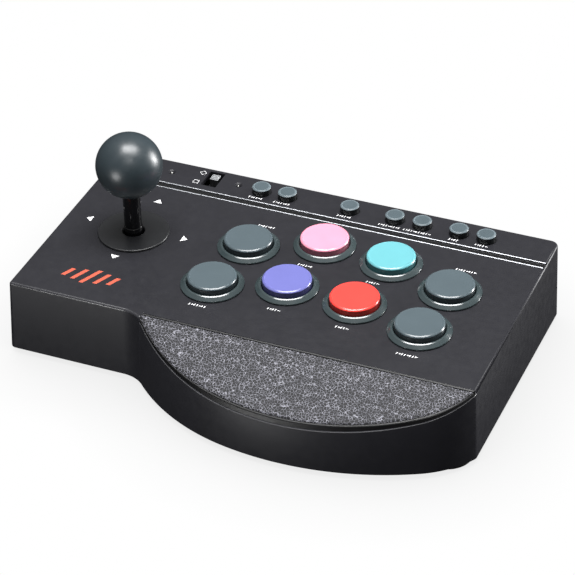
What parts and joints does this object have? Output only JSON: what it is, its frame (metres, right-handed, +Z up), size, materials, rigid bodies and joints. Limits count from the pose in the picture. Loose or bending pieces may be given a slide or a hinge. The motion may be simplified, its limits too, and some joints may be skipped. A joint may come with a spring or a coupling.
{
  "type": "arcade joystick panel",
  "caption": "Desktop arcade controller with a ball-top tilting stick, round action buttons, small function keys, a slide switch and a sloping leather palm rest.",
  "frame": {"origin": "on the desk plane, under the middle of the footprint", "axes": "+X to the player's right, +Y to the back, +Z up"},
  "size_m": [0.2404, 0.1659, 0.0977],
  "materials": {
    "ball_plastic": "polished slate grey",
    "base_plastic": "moulded matt black",
    "board_laminate": "green solder mask",
    "case_plastic": "fine satin moulded texture, charcoal",
    "chip_plastic": "black epoxy",
    "collar_plastic": "glossy dark slate",
    "connector_plastic": "natural nylon",
    "cyan_cap": "semi-gloss cyan",
    "foot_rubber": "matt black rubber",
    "frame_plastic": "glass-filled nylon, black",
    "gate_plastic": "natural acetal",
    "knob_plastic": "light grey",
    "led_plastic": "water clear",
    "lens_plastic": "clear white",
    "pad_leather": "black leatherette with a fine pebble grain",
    "pink_cap": "semi-gloss pink",
    "red_cap": "semi-gloss red",
    "rest_plastic": "smooth black",
    "ribbon_plastic": "grey flat cable",
    "screw_steel": "zinc-plated",
    "slate_cap": "semi-gloss slate grey",
    "sleeve_plastic": "polished black",
    "socket_steel": "plated shell",
    "spring_steel": "spring wire",
    "switch_plastic": "black switch moulding",
    "trim_metal": "bright silver",
    "violet_cap": "semi-gloss violet",
    "washer_plastic": "satin black",
    "weight_steel": "plain grey coated plate"
  },
  "bodies": {
    "root": {"top_case": "case_plastic", "base_plate": "base_plastic", "palm_rest_frame": "rest_plastic", "palm_pad": "pad_leather", "trim_strip": "trim_metal", "rubber_feet": "foot_rubber", "base_screws": "screw_steel", "palm_frame_screws": "screw_steel", "weight_plate": "weight_steel", "weight_screws": "screw_steel", "button_housings": "collar_plastic", "main_board": "board_laminate", "microswitches": "switch_plastic", "board_screws": "screw_steel", "controller_chips": "chip_plastic", "function_board": "board_laminate", "tact_switches": "switch_plastic", "slide_switch_body": "switch_plastic", "indicator_leds": "led_plastic", "indicator_lenses": "lens_plastic", "usb_socket": "socket_steel", "stick_frame": "frame_plastic", "frame_screws": "screw_steel", "stick_board": "board_laminate", "stick_switches": "switch_plastic", "restrictor_gate": "gate_plastic", "gate_screws": "screw_steel", "board_connectors": "connector_plastic", "stick_ribbon": "ribbon_plastic", "function_ribbon": "ribbon_plastic"},
    "gimbal": {"gimbal_ring": "gate_plastic"},
    "stick": {"ball_top": "ball_plastic", "shaft_sleeve": "sleeve_plastic", "stick_shaft": "spring_steel", "pivot_pin": "spring_steel", "centring_spring": "spring_steel", "spring_cup": "gate_plastic", "stick_actuator": "gate_plastic", "e_clip": "spring_steel"},
    "dust_plate": {"lower_dust_plate": "washer_plastic"},
    "washer": {"dust_washer": "washer_plastic"},
    "slide_knob": {"slide_knob": "knob_plastic"},
    "grey_button_upper_left": {"grey_button_upper_left": "slate_cap"},
    "pink_button": {"pink_button": "pink_cap"},
    "cyan_button": {"cyan_button": "cyan_cap"},
    "grey_button_upper_right": {"grey_button_upper_right": "slate_cap"},
    "grey_button_lower_left": {"grey_button_lower_left": "slate_cap"},
    "violet_button": {"violet_button": "violet_cap"},
    "red_button": {"red_button": "red_cap"},
    "grey_button_lower_right": {"grey_button_lower_right": "slate_cap"},
    "turbo_key": {"turbo_key": "slate_cap"},
    "macro_key": {"macro_key": "slate_cap"},
    "home_key": {"home_key": "slate_cap"},
    "share_key": {"share_key": "slate_cap"},
    "options_key": {"options_key": "slate_cap"},
    "left_press_key": {"left_press_key": "slate_cap"},
    "right_press_key": {"right_press_key": "slate_cap"}
  },
  "joints": [
    {"name": "stick_tilt_front_back", "type": "hinge", "parent": "root", "child": "gimbal", "pos_m": [-0.08034, 0.01508, 0.03204], "axis": [1, 0, 0], "range_deg": [-10, 10], "stiffness_Nm_per_rad": 0.6},
    {"name": "stick_tilt_side", "type": "hinge", "parent": "gimbal", "child": "stick", "pos_m": [-0.08034, 0.01508, 0.03204], "axis": [0, 0.9996, 0.0284], "range_deg": [-10, 10], "stiffness_Nm_per_rad": 0.6, "deforming": ["centring_spring"]},
    {"name": "dust_plate_slide", "type": "slide", "parent": "root", "child": "dust_plate", "axis": [1, 0, 0], "range_m": [-0.0016, 0.0016]},
    {"name": "dust_washer_slide", "type": "slide", "parent": "dust_plate", "child": "washer", "axis": [0, 0.9996, 0.0284], "range_m": [-0.0016, 0.0016]},
    {"name": "slide_knob_travel", "type": "slide", "parent": "root", "child": "slide_knob", "axis": [0, 0.9996, 0.0284], "range_m": [-0.006, 0]},
    {"name": "grey_button_upper_left_press", "type": "slide", "parent": "root", "child": "grey_button_upper_left", "axis": [0, -0.0284, 0.9996], "range_m": [-0.002, 0], "stiffness_N_per_m": 250, "springref_m": 0.002},
    {"name": "pink_button_press", "type": "slide", "parent": "root", "child": "pink_button", "axis": [0, -0.0284, 0.9996], "range_m": [-0.002, 0], "stiffness_N_per_m": 250, "springref_m": 0.002},
    {"name": "cyan_button_press", "type": "slide", "parent": "root", "child": "cyan_button", "axis": [0, -0.0284, 0.9996], "range_m": [-0.002, 0], "stiffness_N_per_m": 250, "springref_m": 0.002},
    {"name": "grey_button_upper_right_press", "type": "slide", "parent": "root", "child": "grey_button_upper_right", "axis": [0, -0.0284, 0.9996], "range_m": [-0.002, 0], "stiffness_N_per_m": 250, "springref_m": 0.002},
    {"name": "grey_button_lower_left_press", "type": "slide", "parent": "root", "child": "grey_button_lower_left", "axis": [0, -0.0284, 0.9996], "range_m": [-0.002, 0], "stiffness_N_per_m": 250, "springref_m": 0.002},
    {"name": "violet_button_press", "type": "slide", "parent": "root", "child": "violet_button", "axis": [0, -0.0284, 0.9996], "range_m": [-0.002, 0], "stiffness_N_per_m": 250, "springref_m": 0.002},
    {"name": "red_button_press", "type": "slide", "parent": "root", "child": "red_button", "axis": [0, -0.0284, 0.9996], "range_m": [-0.002, 0], "stiffness_N_per_m": 250, "springref_m": 0.002},
    {"name": "grey_button_lower_right_press", "type": "slide", "parent": "root", "child": "grey_button_lower_right", "axis": [0, -0.0284, 0.9996], "range_m": [-0.002, 0], "stiffness_N_per_m": 250, "springref_m": 0.002},
    {"name": "turbo_key_press", "type": "slide", "parent": "root", "child": "turbo_key", "axis": [0, -0.0284, 0.9996], "range_m": [-0.0005, 0], "stiffness_N_per_m": 400, "springref_m": 0.0005},
    {"name": "macro_key_press", "type": "slide", "parent": "root", "child": "macro_key", "axis": [0, -0.0284, 0.9996], "range_m": [-0.0005, 0], "stiffness_N_per_m": 400, "springref_m": 0.0005},
    {"name": "home_key_press", "type": "slide", "parent": "root", "child": "home_key", "axis": [0, -0.0284, 0.9996], "range_m": [-0.0005, 0], "stiffness_N_per_m": 400, "springref_m": 0.0005},
    {"name": "share_key_press", "type": "slide", "parent": "root", "child": "share_key", "axis": [0, -0.0284, 0.9996], "range_m": [-0.0005, 0], "stiffness_N_per_m": 400, "springref_m": 0.0005},
    {"name": "options_key_press", "type": "slide", "parent": "root", "child": "options_key", "axis": [0, -0.0284, 0.9996], "range_m": [-0.0005, 0], "stiffness_N_per_m": 400, "springref_m": 0.0005},
    {"name": "left_press_key_press", "type": "slide", "parent": "root", "child": "left_press_key", "axis": [0, -0.0284, 0.9996], "range_m": [-0.0005, 0], "stiffness_N_per_m": 400, "springref_m": 0.0005},
    {"name": "right_press_key_press", "type": "slide", "parent": "root", "child": "right_press_key", "axis": [0, -0.0284, 0.9996], "range_m": [-0.0005, 0], "stiffness_N_per_m": 400, "springref_m": 0.0005}
  ],
  "couplings": [
    {"joint": "dust_plate_slide", "follows": "stick_tilt_side", "m_per_rad": 0.0088},
    {"joint": "dust_washer_slide", "follows": "stick_tilt_front_back", "m_per_rad": -0.0088}
  ]
}
